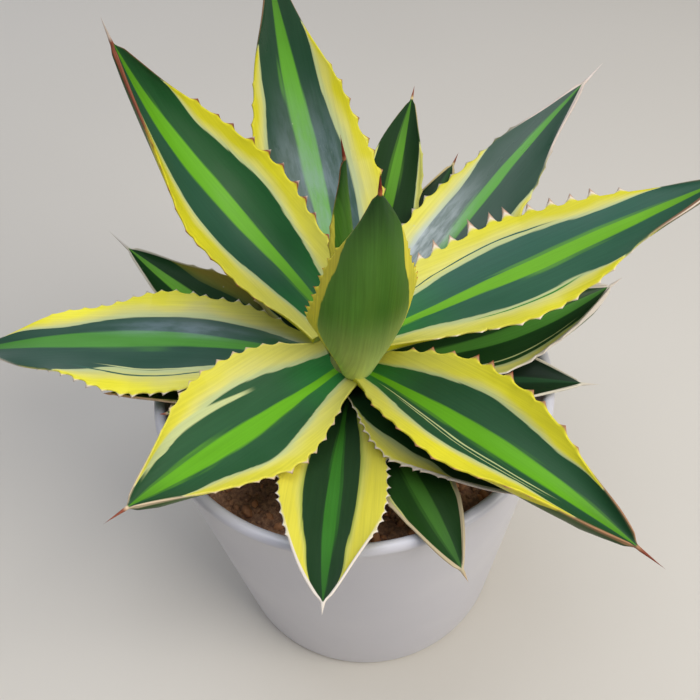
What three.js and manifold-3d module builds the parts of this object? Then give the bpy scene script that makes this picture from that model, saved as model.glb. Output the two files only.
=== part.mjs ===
// Potted agave: a rosette of thick, toothed, variegated leaves in a plain tapered pot.
// Millimetres, +Z up. The origin is the centre of the pot's foot, and -Y faces the viewer.
import * as THREE from "three";
import { mergeVertices } from "three/addons/utils/BufferGeometryUtils.js";
import Module from "manifold-3d";

// ---- Driving dimensions: the pot and its filling ----
const POT_HEIGHT = 116;
const RIM_RADIUS = 65;
const FOOT_RADIUS = 54;
const FOOT_ROUNDING = 4;
const WALL = 3.2;
const FLOOR = 6;
const LIP_DEPTH = 6.5;
const LIP_OVERHANG = 0.6;
const SOIL_DROP = 12;
const SOIL_BUMP = 1.2;
const POT_SIDES = 48;
const FOOT_ARC_STEPS = 3;
const LIP_ARC_STEPS = 6;
// Where the lip's round outline starts, in degrees: it meets the wall under its overhang.
const LIP_ARC_FROM = -20;
const SOIL_SIDES = 30;
// The rings of the soil's surface, as shares of the way from the stem to the pot's wall.
const SOIL_RINGS = [0.8, 0.6, 0.4, 0.2];
const CLEARANCE = 0.3;
const LEAF_CLEARANCE = 0.5;

// ---- Driving dimensions: the stem, teeth and spines ----
const STEM_RADIUS = 8;
const STEM_TOP_RADIUS = 3;
const STEM_HEIGHT = 32;
const STEM_DEPTH = 14;
const STEM_SIDES = 16;
// Where the stem starts to narrow and where it is halfway, as shares of its height.
const STEM_SHOULDER = 0.5;
const STEM_WAIST = 0.8;
const ROOT_RADIUS = 6;
const TOOTH_SPACING = 7;
const TOOTH_HEIGHT = 2.2;
const TOOTH_HALF_BASE = 1.5;
const TOOTH_HOOK = 0.8;
// How much lower the last tooth is than the first, as a share.
const TOOTH_SHRINK = 0.3;
const SPINE_RADIUS = 0.9;

// A blade's thickness at its root and at its tip, as shares of its width.
const ROOT_THICKNESS = 0.16;
const TIP_THICKNESS = 0.04;
// How sharply a blade widens from its neck: 1 is a plain quarter wave.
const WIDENING = 1.3;
const MIDRIB_STEPS = 24;

// Places along a leaf, as shares of its length: where the teeth start and stop, where the gutter has
// its own fold, and where the outline is drawn between the teeth and the two ends.
const TEETH_FROM = 0.16;
const TEETH_TO = 0.76;
const FOLD_MIDDLE = 0.5;
const ROOT_STATIONS = [0, 0.08];
const TIP_STATIONS = [0.84, 0.92, 0.98];

// Across the leaf, u runs from -1 at one margin to 1 at the other.
const UPPER_FACE = [-1, -0.75, 0, 0.75, 1];
const LOWER_FACE = [0.6, 0, -0.6];

// ---- The leaves, from the centre outwards ----
// azimuth: the way the leaf grows out, in degrees from +X towards +Y.
// swing: how far it turns aside by its tip, in degrees.
// rise: its slope at the root and at the tip, in degrees; height: its root's height over the soil.
// fold: half the angle of its gutter at the middle of the blade, in radians; roll: its tilt, in degrees.
// neck: width at the root as a share of the full width; peak: where it is widest; taper: how full the tip is.
// skew: how much wider than the mean the half at u = -1 is, as a share.
const SPEAR = { neck: 0.6, peak: 0.45, taper: 1.5, spine: 9, skew: 0, rootFold: 1.2, tipFold: 0 };
const OPEN = { neck: 0.4, peak: 0.47, taper: 1.4, spine: 9, skew: 0, rootFold: 0.9, tipFold: 0.3 };
const OLD = { neck: 0.55, peak: 0.5, taper: 1.5, spine: 5, skew: 0, rootFold: 0.9, tipFold: 0.3 };

const LEAVES = [
  { name: "leaf_spear_front", ...SPEAR, azimuth: 286, swing: 0, rise: [62, 83],
    length: 89, width: 32.5, fold: 0.8, roll: -6, height: 21,
    neck: 0.3, peak: 0.38, taper: 1.5, skew: 0.04, spine: 5 },
  { name: "leaf_spear_rear", ...SPEAR, azimuth: 70, swing: 0, rise: [88, 91],
    length: 69, width: 18, fold: 1.3, roll: -78, height: 20, spine: 7 },
  { name: "leaf_rear_left", ...OPEN, azimuth: 126, swing: 48, rise: [20, 80],
    length: 109, width: 40, fold: 0.75, roll: -14, height: 28, neck: 0.5, taper: 1.45, spine: 7 },
  { name: "leaf_right", ...OPEN, azimuth: 14, swing: -12, rise: [16, 22],
    length: 116, width: 39, fold: 0.15, roll: 8, height: 26, peak: 0.44, taper: 1.2, skew: 0.08 },
  { name: "leaf_front_left", ...OPEN, azimuth: 220, swing: 8, rise: [8, 13],
    length: 79, width: 40, fold: 0.45, roll: -20, height: 19, neck: 0.5, taper: 1.3, spine: 7 },
  { name: "leaf_front_right", ...OPEN, azimuth: 307, swing: 4, rise: [25, -9],
    length: 99, width: 33.5, fold: 0.7, roll: 8, height: 18, neck: 0.35, taper: 1.3, spine: 7 },
  { name: "leaf_left", ...OPEN, azimuth: 167, swing: 10, rise: [10, -10],
    length: 126, width: 41, fold: 0.12, roll: -6, height: 17, neck: 0.2, taper: 1.15, skew: -0.12 },
  { name: "leaf_rear_right", ...OPEN, azimuth: 44, swing: -8, rise: [28, 22],
    length: 121, width: 33, fold: 0.15, roll: 6, height: 15, peak: 0.42, taper: 1.2, skew: 0.1 },
  { name: "leaf_rear", ...OPEN, azimuth: 92, swing: 28, rise: [26, 88],
    length: 127, width: 42, fold: 0.2, roll: 0, height: 12, neck: 0.5 },
  { name: "leaf_old_rear_right", ...OLD, azimuth: 71, swing: 0, rise: [36, 24],
    length: 100, width: 22, fold: 0.3, roll: 0, height: 8, taper: 2 },
  { name: "leaf_old_right", ...OLD, azimuth: -3, swing: 32, rise: [4, 6],
    length: 87, width: 30, fold: 0.7, roll: 14, height: 15, taper: 1.15 },
  { name: "leaf_old_front_right", ...OLD, azimuth: 306, swing: 0, rise: [12, 8],
    length: 68, width: 34, fold: 0.45, roll: 8, height: 13 },
  { name: "leaf_front", ...OPEN, azimuth: 259, swing: 6, rise: [12, 8],
    length: 79, width: 30, fold: 0.2, roll: -5, height: 9, neck: 0.25, peak: 0.52, taper: 1.85, spine: 3 },
  { name: "leaf_old_rear_right_low", ...OLD, azimuth: 58, swing: 0, rise: [28, 20],
    length: 82, width: 23, fold: 0.45, roll: 0, height: 8 },
  { name: "leaf_old_rear", ...OLD, azimuth: 98, swing: 0, rise: [14, 8],
    length: 74, width: 24, fold: 0.45, roll: 0, height: 9 },
  { name: "leaf_old_rear_left_low", ...OLD, azimuth: 120, swing: 0, rise: [12, 6],
    length: 76, width: 22, fold: 0.45, roll: 0, height: 7 },
  { name: "leaf_old_rear_left", ...OLD, azimuth: 149, swing: -7, rise: [4, 28],
    length: 90, width: 30, fold: 0.65, roll: 0, height: 5, spine: 9 },
  { name: "leaf_old_left", ...OLD, azimuth: 185, swing: -2, rise: [10, 4],
    length: 72, width: 22, fold: 0.45, roll: 0, height: 9, spine: 2 },
  { name: "leaf_old_right_low", ...OLD, azimuth: 348, swing: 0, rise: [12, 0],
    length: 68, width: 24, fold: 0.45, roll: 8, height: 7 },
  { name: "leaf_old_front_right_low", ...OLD, azimuth: 290, swing: -4, rise: [17, 0],
    length: 73, width: 20.5, fold: 0.4, roll: 8, height: 4, taper: 2.2, spine: 3 },
  { name: "leaf_old_front_left", ...OLD, azimuth: 194, swing: 0, rise: [22, 4],
    length: 56, width: 22, fold: 0.35, roll: 0, height: 4, taper: 2.4, spine: 2 },
];

const SOIL_LEVEL = POT_HEIGHT - SOIL_DROP;

// ---- Materials ----
function material(color, roughness) {
  return new THREE.MeshStandardMaterial({ color, roughness, metalness: 0 });
}

// ---- Closed meshes as solids, for cuts ----
const wasm = await Module();
wasm.setup();

function solidOf(geometry) {
  const merged = mergeVertices(geometry);
  const mesh = new wasm.Mesh({
    numProp: 3,
    vertProperties: merged.getAttribute("position").array,
    triVerts: new Uint32Array(merged.index.array),
  });
  return new wasm.Manifold(mesh);
}

function geometryOf(solid) {
  const mesh = solid.getMesh();
  const geometry = new THREE.BufferGeometry();
  geometry.setAttribute("position", new THREE.BufferAttribute(mesh.vertProperties, 3));
  geometry.setIndex(new THREE.BufferAttribute(mesh.triVerts, 1));
  geometry.computeVertexNormals();
  return geometry;
}

function largestBody(solid) {
  return solid.decompose().reduce((best, body) => (body.volume() > best.volume() ? body : best));
}

// ---- The pot and the soil: turned round the Z axis ----
function arc(centreR, centreZ, radius, fromDegrees, toDegrees, steps) {
  const points = [];
  for (let i = 0; i <= steps; i++) {
    const angle = THREE.MathUtils.degToRad(fromDegrees + ((toDegrees - fromDegrees) * i) / steps);
    points.push(new THREE.Vector2(centreR + radius * Math.cos(angle), centreZ + radius * Math.sin(angle)));
  }
  return points;
}

function turned(profile, sides) {
  const geometry = new THREE.LatheGeometry(profile, sides);
  geometry.rotateX(Math.PI / 2);
  geometry.deleteAttribute("normal");
  geometry.deleteAttribute("uv");
  return mergeVertices(geometry, 1e-3);
}

// The outer wall's radius at a height, along the straight taper.
function wallRadius(z) {
  const share = (z - FOOT_ROUNDING) / (POT_HEIGHT - FOOT_ROUNDING);
  return THREE.MathUtils.lerp(FOOT_RADIUS, RIM_RADIUS - LIP_OVERHANG, share);
}

function potGeometry() {
  const lip = WALL / 2 + LIP_OVERHANG / 2;
  const lipBottom = POT_HEIGHT - LIP_DEPTH;
  const profile = [
    new THREE.Vector2(0, 0),
    ...arc(FOOT_RADIUS - FOOT_ROUNDING, FOOT_ROUNDING, FOOT_ROUNDING, -90, 0, FOOT_ARC_STEPS),
    new THREE.Vector2(wallRadius(lipBottom), lipBottom),
    ...arc(RIM_RADIUS - lip, POT_HEIGHT - lip, lip, LIP_ARC_FROM, 180, LIP_ARC_STEPS),
    new THREE.Vector2(wallRadius(lipBottom) - WALL, lipBottom),
    new THREE.Vector2(wallRadius(FLOOR) - WALL, FLOOR),
    new THREE.Vector2(0, FLOOR),
  ];
  return turned(profile, POT_SIDES);
}

// A small, repeatable unevenness of the soil's surface.
function bump(x, y) {
  return SOIL_BUMP * Math.sin(0.31 * x + 1.3 * Math.sin(0.17 * y)) * Math.cos(0.27 * y - 0.9);
}

function soilGeometry() {
  const holeRadius = STEM_RADIUS + CLEARANCE;
  const holeFloor = SOIL_LEVEL - STEM_DEPTH - CLEARANCE;
  const bottom = FLOOR + CLEARANCE;
  const edge = wallRadius(SOIL_LEVEL) - WALL - CLEARANCE;
  const profile = [
    new THREE.Vector2(0, bottom),
    new THREE.Vector2(wallRadius(bottom) - WALL - CLEARANCE, bottom),
    new THREE.Vector2(edge, SOIL_LEVEL),
  ];
  for (const share of SOIL_RINGS) {
    profile.push(new THREE.Vector2(THREE.MathUtils.lerp(holeRadius, edge, share), SOIL_LEVEL));
  }
  profile.push(new THREE.Vector2(holeRadius, SOIL_LEVEL));
  profile.push(new THREE.Vector2(holeRadius, holeFloor));
  profile.push(new THREE.Vector2(0, holeFloor));
  const geometry = turned(profile, SOIL_SIDES);
  const position = geometry.getAttribute("position");
  for (let i = 0; i < position.count; i++) {
    const radius = Math.hypot(position.getX(i), position.getY(i));
    if (radius > holeRadius + 1 && radius < edge - 1 && position.getZ(i) > holeFloor) {
      position.setZ(i, SOIL_LEVEL + bump(position.getX(i), position.getY(i)));
    }
  }
  return geometry;
}

// ---- The stem: the short column that carries every leaf ----
function stemGeometry(grow = 0) {
  const profile = [
    new THREE.Vector2(0, -STEM_DEPTH - grow),
    new THREE.Vector2(STEM_RADIUS + grow, -STEM_DEPTH - grow),
    new THREE.Vector2(STEM_RADIUS + grow, STEM_HEIGHT * STEM_SHOULDER),
    new THREE.Vector2((STEM_RADIUS + STEM_TOP_RADIUS) / 2 + grow, STEM_HEIGHT * STEM_WAIST),
    new THREE.Vector2(STEM_TOP_RADIUS + grow, STEM_HEIGHT + grow),
    new THREE.Vector2(0, STEM_HEIGHT + grow),
  ];
  return turned(profile, STEM_SIDES);
}

// ---- A leaf: a folded blade with teeth on its margins and a spine at its tip ----
function headingAt(leaf, s) {
  return THREE.MathUtils.degToRad(leaf.azimuth + leaf.swing * s);
}

function directionAt(leaf, s) {
  const slope = THREE.MathUtils.degToRad(THREE.MathUtils.lerp(leaf.rise[0], leaf.rise[1], Math.min(s, 1)));
  const heading = headingAt(leaf, s);
  return new THREE.Vector3(
    Math.cos(slope) * Math.cos(heading),
    Math.cos(slope) * Math.sin(heading),
    Math.sin(slope),
  );
}

// A point of the midrib, by walking from the root along the leaf's changing direction.
function midribAt(leaf, s) {
  const heading = headingAt(leaf, 0);
  const point = new THREE.Vector3(
    ROOT_RADIUS * Math.cos(heading),
    ROOT_RADIUS * Math.sin(heading),
    leaf.height,
  );
  const step = s / MIDRIB_STEPS;
  for (let i = 0; i < MIDRIB_STEPS; i++) {
    point.addScaledVector(directionAt(leaf, (i + 0.5) * step), leaf.length * step);
  }
  return point;
}

// The leaf's own axes at s: along it, across it and out of its upper face.
function frameAt(leaf, s) {
  const along = directionAt(leaf, s);
  const heading = headingAt(leaf, s);
  const across = new THREE.Vector3(-Math.sin(heading), Math.cos(heading), 0);
  across.applyAxisAngle(along, THREE.MathUtils.degToRad(leaf.roll));
  return { along, across, up: along.clone().cross(across) };
}

function halfWidthAt(leaf, s) {
  const widening = Math.sin((Math.PI / 2) * Math.min(s / leaf.peak, 1)) ** WIDENING;
  const narrowing = 1 - Math.max((s - leaf.peak) / (1 - leaf.peak), 0) ** leaf.taper;
  const share = s < leaf.peak ? leaf.neck + (1 - leaf.neck) * widening : narrowing;
  return Math.max((leaf.width / 2) * share, SPINE_RADIUS);
}

function thicknessAt(leaf, s) {
  return Math.max(leaf.width * THREE.MathUtils.lerp(ROOT_THICKNESS, TIP_THICKNESS, s), 2 * SPINE_RADIUS);
}

function foldAt(leaf, s) {
  const tip = leaf.fold + leaf.tipFold;
  return s < FOLD_MIDDLE
    ? THREE.MathUtils.lerp(leaf.rootFold, leaf.fold, s / FOLD_MIDDLE)
    : THREE.MathUtils.lerp(leaf.fold, tip, (s - FOLD_MIDDLE) / (1 - FOLD_MIDDLE));
}

// The places along the leaf where its outline changes: each tooth has a start, a point and an end.
function stationsOf(leaf) {
  const plain = (s) => ({ s, tooth: 0 });
  const stations = ROOT_STATIONS.map(plain);
  const span = TEETH_TO - TEETH_FROM;
  const count = Math.round((span * leaf.length) / TOOTH_SPACING);
  const halfBase = TOOTH_HALF_BASE / leaf.length;
  for (let i = 0; i < count; i++) {
    const s = TEETH_FROM + (span * (i + 0.5)) / count;
    const size = TOOTH_HEIGHT * (1 - TOOTH_SHRINK * (i / count));
    stations.push(plain(s - halfBase), { s, tooth: size }, plain(s + halfBase));
  }
  return [...stations, ...TIP_STATIONS.map(plain)];
}

// One closed ring of points round the leaf. A grown ring lies outside the leaf by that much.
function ringAt(leaf, { s, tooth }, grow) {
  const centre = midribAt(leaf, s);
  const { along, across, up } = frameAt(leaf, s);
  const halfWidth = halfWidthAt(leaf, s);
  const fold = foldAt(leaf, s);
  const thickness = thicknessAt(leaf, s);
  // A point of the arc from margin to margin, moved out of the face or out past the margin.
  const pointAt = (u, outOfFace, pastMargin = 0) => {
    const half = halfWidth * (1 - leaf.skew * Math.sign(u));
    const sine = Math.sin(fold * u);
    const cosine = Math.cos(fold * u);
    const beyond = Math.sign(u) * pastMargin;
    return centre
      .clone()
      .addScaledVector(across, (half * sine) / fold - outOfFace * sine + beyond * cosine)
      .addScaledVector(up, (half * (1 - cosine)) / fold + outOfFace * cosine + beyond * sine)
      .addScaledVector(along, pastMargin > grow ? TOOTH_HOOK : 0);
  };
  const isMargin = (u) => Math.abs(u) === 1;
  const upper = UPPER_FACE.map((u) => (isMargin(u) ? pointAt(u, 0, grow + tooth) : pointAt(u, grow)));
  const lower = LOWER_FACE.map((u) => pointAt(u, -thickness * (1 - u * u) - grow));
  return [...upper, ...lower];
}

function leafGeometry(leaf, grow = 0) {
  const rings = stationsOf(leaf).map((station) => ringAt(leaf, station, grow));
  const points = rings.flat();
  const size = UPPER_FACE.length + LOWER_FACE.length;
  const index = [];
  for (let row = 0; row + 1 < rings.length; row++) {
    for (let k = 0; k < size; k++) {
      const near = row * size + k;
      const nearNext = row * size + ((k + 1) % size);
      const far = near + size;
      const farNext = nearNext + size;
      const isUpper = k < UPPER_FACE.length - 1;
      // Both faces are split along the same diagonal, seen from above.
      if (isUpper) {
        index.push(near, far, farNext, near, farNext, nearNext);
      } else {
        index.push(near, far, nearNext, nearNext, far, farNext);
      }
    }
  }
  const root = frameAt(leaf, 0);
  const rootCentre = midribAt(leaf, 0)
    .addScaledVector(root.up, -thicknessAt(leaf, 0) / 2)
    .addScaledVector(root.along, -grow);
  const spineTip = midribAt(leaf, 1 + leaf.spine / leaf.length).addScaledVector(directionAt(leaf, 1), grow);
  const rootIndex = points.push(rootCentre) - 1;
  const tipIndex = points.push(spineTip) - 1;
  const last = (rings.length - 1) * size;
  for (let k = 0; k < size; k++) {
    const next = (k + 1) % size;
    index.push(rootIndex, k, next);
    index.push(tipIndex, last + next, last + k);
  }
  const geometry = new THREE.BufferGeometry().setFromPoints(points);
  geometry.setIndex(index);
  return geometry;
}

// ---- Assembly ----
function meshOf(name, geometry, color, roughness) {
  const mesh = new THREE.Mesh(geometry, material(color, roughness));
  mesh.name = name;
  return mesh;
}

// Each leaf's root is cut clear of the stem and of the leaves above it.
function rosette() {
  const group = new THREE.Group();
  group.position.z = SOIL_LEVEL;
  group.add(meshOf("stem", geometryOf(solidOf(stemGeometry())), "#a9b46a", 0.7));
  const above = [solidOf(stemGeometry(CLEARANCE))];
  for (const leaf of LEAVES) {
    let solid = solidOf(leafGeometry(leaf));
    for (const other of above) {
      solid = solid.subtract(other);
    }
    group.add(meshOf(leaf.name, geometryOf(largestBody(solid)), "#5f7f3a", 0.45));
    above.push(solidOf(leafGeometry(leaf, LEAF_CLEARANCE)));
  }
  return group;
}

const pottedAgave = new THREE.Group();
pottedAgave.add(meshOf("pot", potGeometry(), "#eceaee", 0.35));
pottedAgave.add(meshOf("soil", soilGeometry(), "#3a2a1e", 0.95));
pottedAgave.add(rosette());

export default pottedAgave;
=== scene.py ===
"""Potted agave: fine leaves, soil and pot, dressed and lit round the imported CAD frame.

Every leaf of the frame is replaced by a finer one of the same form. It has a rounded horny margin
with hooked teeth, a round spine at the tip and a skin with a lime middle stripe, blue-green bands
and yellow margins. Sizes are in millimetres, as on the drawing, and become metres in the meshes.
"""

import logging
import math
from dataclasses import dataclass, field
from enum import Enum
from itertools import combinations
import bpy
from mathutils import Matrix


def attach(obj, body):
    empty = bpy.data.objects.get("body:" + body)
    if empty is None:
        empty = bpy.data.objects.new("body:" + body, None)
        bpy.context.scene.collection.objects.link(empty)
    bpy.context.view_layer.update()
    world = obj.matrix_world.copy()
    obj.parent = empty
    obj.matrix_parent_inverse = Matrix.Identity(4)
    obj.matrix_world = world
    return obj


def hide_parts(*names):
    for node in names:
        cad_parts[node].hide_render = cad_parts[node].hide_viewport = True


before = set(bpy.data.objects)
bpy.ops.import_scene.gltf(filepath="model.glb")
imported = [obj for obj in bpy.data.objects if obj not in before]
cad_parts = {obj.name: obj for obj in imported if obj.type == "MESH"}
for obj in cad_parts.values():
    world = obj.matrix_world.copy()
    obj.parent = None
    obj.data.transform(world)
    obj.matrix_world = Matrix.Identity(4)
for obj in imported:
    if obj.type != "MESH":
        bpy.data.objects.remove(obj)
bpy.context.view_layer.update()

from types import SimpleNamespace
from typing import ClassVar, Optional, Sequence, Union

import bpy
import numpy as np
from mathutils import Matrix, Vector, noise

LOG = logging.getLogger("potted_agave")

MM = 0.001
BODY = "root"

# A number, a colour or a wire from another node: whatever an input socket can take.
Feed = Union[float, Sequence[float], "Wire"]
Feeds = dict[Union[str, int], Feed]
Faces = list[tuple[int, ...]]


def colour(code: str) -> tuple[float, float, float, float]:
    """Turn a web colour, "#rrggbb", into the linear colour that a shader takes."""
    channels = [int(code[i : i + 2], 16) / 255 for i in (1, 3, 5)]
    return (*(c / 12.92 if c <= 0.04045 else ((c + 0.055) / 1.055) ** 2.4 for c in channels), 1.0)


def smoothstep(low: float, high: float, value: np.ndarray) -> np.ndarray:
    """Rise smoothly from 0 at low to 1 at high."""
    t = np.clip((value - low) / (high - low), 0.0, 1.0)
    return t * t * (3 - 2 * t)


# ---- Node trees ----


class Wire:
    """A node's output, with which sums are written as they are with numbers."""

    def __init__(self, graph: "Graph", socket: bpy.types.NodeSocket) -> None:
        """Note the socket and the graph that it is in."""
        self.graph, self.socket = graph, socket

    def __add__(self, other: Feed) -> "Wire":
        """Add."""
        return self.graph.math("ADD", self, other)

    def __sub__(self, other: Feed) -> "Wire":
        """Subtract."""
        return self.graph.math("SUBTRACT", self, other)

    def __rsub__(self, other: Feed) -> "Wire":
        """Subtract from a number."""
        return self.graph.math("SUBTRACT", other, self)

    def __mul__(self, other: Feed) -> "Wire":
        """Multiply."""
        return self.graph.math("MULTIPLY", self, other)

    def __truediv__(self, other: Feed) -> "Wire":
        """Divide."""
        return self.graph.math("DIVIDE", self, other)

    def __rtruediv__(self, other: Feed) -> "Wire":
        """Divide a number."""
        return self.graph.math("DIVIDE", other, self)

    def __abs__(self) -> "Wire":
        """Leave out the sign."""
        return self.graph.math("ABSOLUTE", self)

    def __gt__(self, other: Feed) -> "Wire":
        """Give 1 where it is greater and 0 elsewhere."""
        return self.graph.math("GREATER_THAN", self, other)


class Graph:
    """A node tree that is written as a row of calls, most of which give a wire."""

    def __init__(self, tree: bpy.types.NodeTree) -> None:
        """Start on an existing tree."""
        self.tree = tree

    def feed(self, sockets: bpy.types.NodeInputs, feeds: Feeds) -> None:
        """Link wires into inputs, or set inputs to plain values.

        Args:
            sockets: The inputs of a node.
            feeds: What goes into each of them, by its name or number.
        """
        for key, value in feeds.items():
            if isinstance(value, Wire):
                self.tree.links.new(value.socket, sockets[key])
            else:
                sockets[key].default_value = value

    def node(self, kind: str, feeds: Feeds, **settings: object) -> bpy.types.Node:
        """Add a node.

        Args:
            kind: The node's type, without the leading "ShaderNode".
            feeds: What goes into its inputs.
            **settings: The node's own properties.

        Returns:
            The new node.
        """
        made = self.tree.nodes.new("ShaderNode" + kind)
        for name, value in settings.items():
            setattr(made, name, value)
        self.feed(made.inputs, feeds)
        return made

    def wire(self, made: bpy.types.Node, output: Union[str, int] = 0) -> Wire:
        """Give the wire from an output of a node."""
        return Wire(self, made.outputs[output])

    def wires(self, made: bpy.types.Node) -> SimpleNamespace:
        """Give the wires from all of a node's outputs, by their names."""
        named = {socket.name: Wire(self, socket) for socket in made.outputs if socket.name}
        return SimpleNamespace(**{name.lower().replace(" ", "_"): wire for name, wire in named.items()})

    def math(self, operation: str, *values: Feed) -> Wire:
        """Do a sum with one or two values."""
        return self.wire(self.node("Math", dict(enumerate(values)), operation=operation))

    def ramp(self, value: Feed, low: Feed, high: Feed, start: Feed = 0.0, end: Feed = 1.0) -> Wire:
        """Go smoothly from start, where value is low, to end, where it is high."""
        feeds = {"Value": value, "From Min": low, "From Max": high, "To Min": start, "To Max": end}
        return self.wire(self.node("MapRange", feeds, interpolation_type="SMOOTHSTEP"), "Result")

    def mix(self, share: Feed, first: Feed, second: Feed, blend: str = "MIX") -> Wire:
        """Mix two colours, whose sockets are the Mix node's seventh and eighth."""
        feeds = {0: share, 6: first, 7: second}
        return self.wire(self.node("Mix", feeds, data_type="RGBA", blend_type=blend), 2)

    def noise(self, place: Feed, scale: float, detail: float = 2.0, roughness: float = 0.5) -> Wire:
        """Give cloudy noise between 0 and 1, centred on one half."""
        feeds = {"Vector": place, "Scale": scale, "Detail": detail, "Roughness": roughness}
        return self.wire(self.node("TexNoise", feeds), "Fac")

    def grain(self, place: Feed, fineness: Sequence[float], detail: float = 2.0, roughness: float = 0.5,
              scale: float = 1.0) -> Wire:
        """Give cloudy noise that is not as fine along one axis as along another."""
        stretched = self.node("VectorMath", {0: place, 1: fineness}, operation="MULTIPLY")
        return self.noise(self.wire(stretched), scale, detail, roughness)

    def attribute(self, name: str, output: str = "Fac") -> Wire:
        """Read a named attribute of the mesh."""
        return self.wire(self.node("Attribute", {}, attribute_name=name), output)


class EffectGroup:
    """A shader node group that several materials share, built once.

    Its inputs are a place on the surface, the numbers and the tints. In the group each of them has
    its name in title case.
    """

    name = ""
    numbers: tuple[str, ...] = ()
    tints: tuple[str, ...] = ()
    outputs: dict[str, str] = {"mask": "Float"}

    @staticmethod
    def titled(values: dict[str, object]) -> dict[str, object]:
        """Give the same values by their names in title case."""
        return {name.replace("_", " ").title(): value for name, value in values.items()}

    @classmethod
    def tree(cls) -> bpy.types.NodeTree:
        """Give the group's tree, and build it the first time.

        Returns:
            The tree, which all nodes of this group share.
        """
        made = bpy.data.node_groups.get(cls.name)
        if made:
            return made
        made = bpy.data.node_groups.new(cls.name, "ShaderNodeTree")
        inputs = {"place": "Vector"} | dict.fromkeys(cls.numbers, "Float") | dict.fromkeys(cls.tints, "Color")
        for way, sockets in (("INPUT", inputs), ("OUTPUT", cls.outputs)):
            for label, kind in cls.titled(sockets).items():
                made.interface.new_socket(label, in_out=way, socket_type="NodeSocket" + kind)
        graph = Graph(made)
        results = cls.build(graph, graph.wires(made.nodes.new("NodeGroupInput")))
        graph.feed(made.nodes.new("NodeGroupOutput").inputs, cls.titled(results))
        return made

    @classmethod
    def build(cls, graph: Graph, given: SimpleNamespace) -> dict[str, Wire]:
        """Make the group's nodes from the wires of its inputs, and give what goes to each output."""
        raise NotImplementedError

    @classmethod
    def place(cls, graph: Graph, feeds: dict[str, Feed]) -> SimpleNamespace:
        """Put the group into a material, with a value for every input, and give its wires."""
        return graph.wires(graph.node("Group", cls.titled(feeds), node_tree=cls.tree()))


class Variegation(EffectGroup):
    """The lengthwise colour pattern of a blade: middle stripe, bands, pale seams and margins.

    Places across and widths are shares of the half width, and places along are shares of the length.
    """

    name = "leaf_variegation"
    numbers = ("across", "along", "stripe_width", "stripe_centre", "left_edge", "right_edge", "base_edge",
               "left_reach", "right_reach", "seam_share", "root_reach", "tip_shade")
    tints = ("band", "right_band", "stripe", "seam", "cream", "margin", "root")
    outputs = {"colour": "Color"}

    # How fine the noises are: per millimetre across and along the leaf, and per degree of azimuth.
    DRIFT = (0.05, 0.03, 1.0)
    FIBRES = (0.9, 0.03, 1.0)
    SEAM_PATCHES = (0.1, 0.05, 3.0)
    FLANK_PATCHES = (0.2, 0.02, 2.0)
    DRIFT_WIDTH = 0.14
    FIBRE_WIDTH = 0.08
    EDGE_SOFTNESS = 0.014
    # Over what length a margin narrows to nothing, and how far out the band's edge then is.
    NARROWING = 0.26
    PAST_MARGIN = 1.14
    LEAST_MARGIN = 0.08
    TIP_GREEN = "#173a1c"

    @classmethod
    def build(cls, graph: Graph, given: SimpleNamespace) -> dict[str, Wire]:
        """Make the masks of the stripe, the bands and the margins, and mix the tints with them.

        Args:
            graph: The group's graph.
            given: The wires from the group's inputs, by name.

        Returns:
            The pattern's colour as the output "colour".
        """
        across, along, place = given.across, given.along, given.place
        drift = (graph.grain(place, cls.DRIFT) - 0.5) * cls.DRIFT_WIDTH
        wander = drift + (graph.grain(place, cls.FIBRES, 3.0, 0.6) - 0.5) * cls.FIBRE_WIDTH

        is_left = across > 0.0
        edge = graph.ramp(is_left, 0.0, 1.0, given.right_edge, given.left_edge)
        edge = graph.ramp(along, 0.04, 0.5, given.base_edge, edge)
        reach = graph.ramp(is_left, 0.0, 1.0, given.right_reach, given.left_reach)
        edge = graph.ramp(along, reach - cls.NARROWING, reach, edge, cls.PAST_MARGIN)
        beyond = abs(across) + wander - edge
        is_band = graph.ramp(beyond, -cls.EDGE_SOFTNESS, cls.EDGE_SOFTNESS, 1.0, 0.0)

        room = graph.math("MAXIMUM", 1.0 - edge, cls.LEAST_MARGIN)
        patches = graph.ramp(graph.grain(place, cls.SEAM_PATCHES), 0.3, 0.7, 0.75, 1.35)
        depth = beyond / (room * given.seam_share * patches)
        ripe = graph.ramp(depth, 0.25, 0.85) * graph.ramp(along, 0.05, 0.5, 0.25, 1.0)
        margin = graph.mix(graph.ramp(depth, 0.02, 0.4), given.seam, given.cream)
        margin = graph.mix(ripe, margin, given.margin)

        width = given.stripe_width * graph.ramp(along, 0.1, 0.9, 0.8, 1.7)
        offset = abs(wander * 0.7 + across - given.stripe_centre)
        stripe = graph.ramp(offset, width * 0.75, width * 1.1, 1.0, 0.0)
        flank = graph.ramp(offset, width * 1.2, width * 1.5, 0.45, 0.0)
        flank = flank * graph.ramp(graph.grain(place, cls.FLANK_PATCHES), 0.48, 0.6)
        flesh = graph.mix(graph.ramp(across, -0.35, 0.35), given.right_band, given.band)
        flesh = graph.mix(graph.ramp(along, 0.02, given.root_reach, 0.9, 0.0), flesh, given.root)
        flesh = graph.mix(graph.math("MAXIMUM", stripe, flank), flesh, given.stripe)
        flesh = graph.mix(graph.ramp(along, 0.74, 1.0, 0.0, given.tip_shade), flesh, colour(cls.TIP_GREEN))
        return {"colour": graph.mix(is_band, margin, flesh)}


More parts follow.
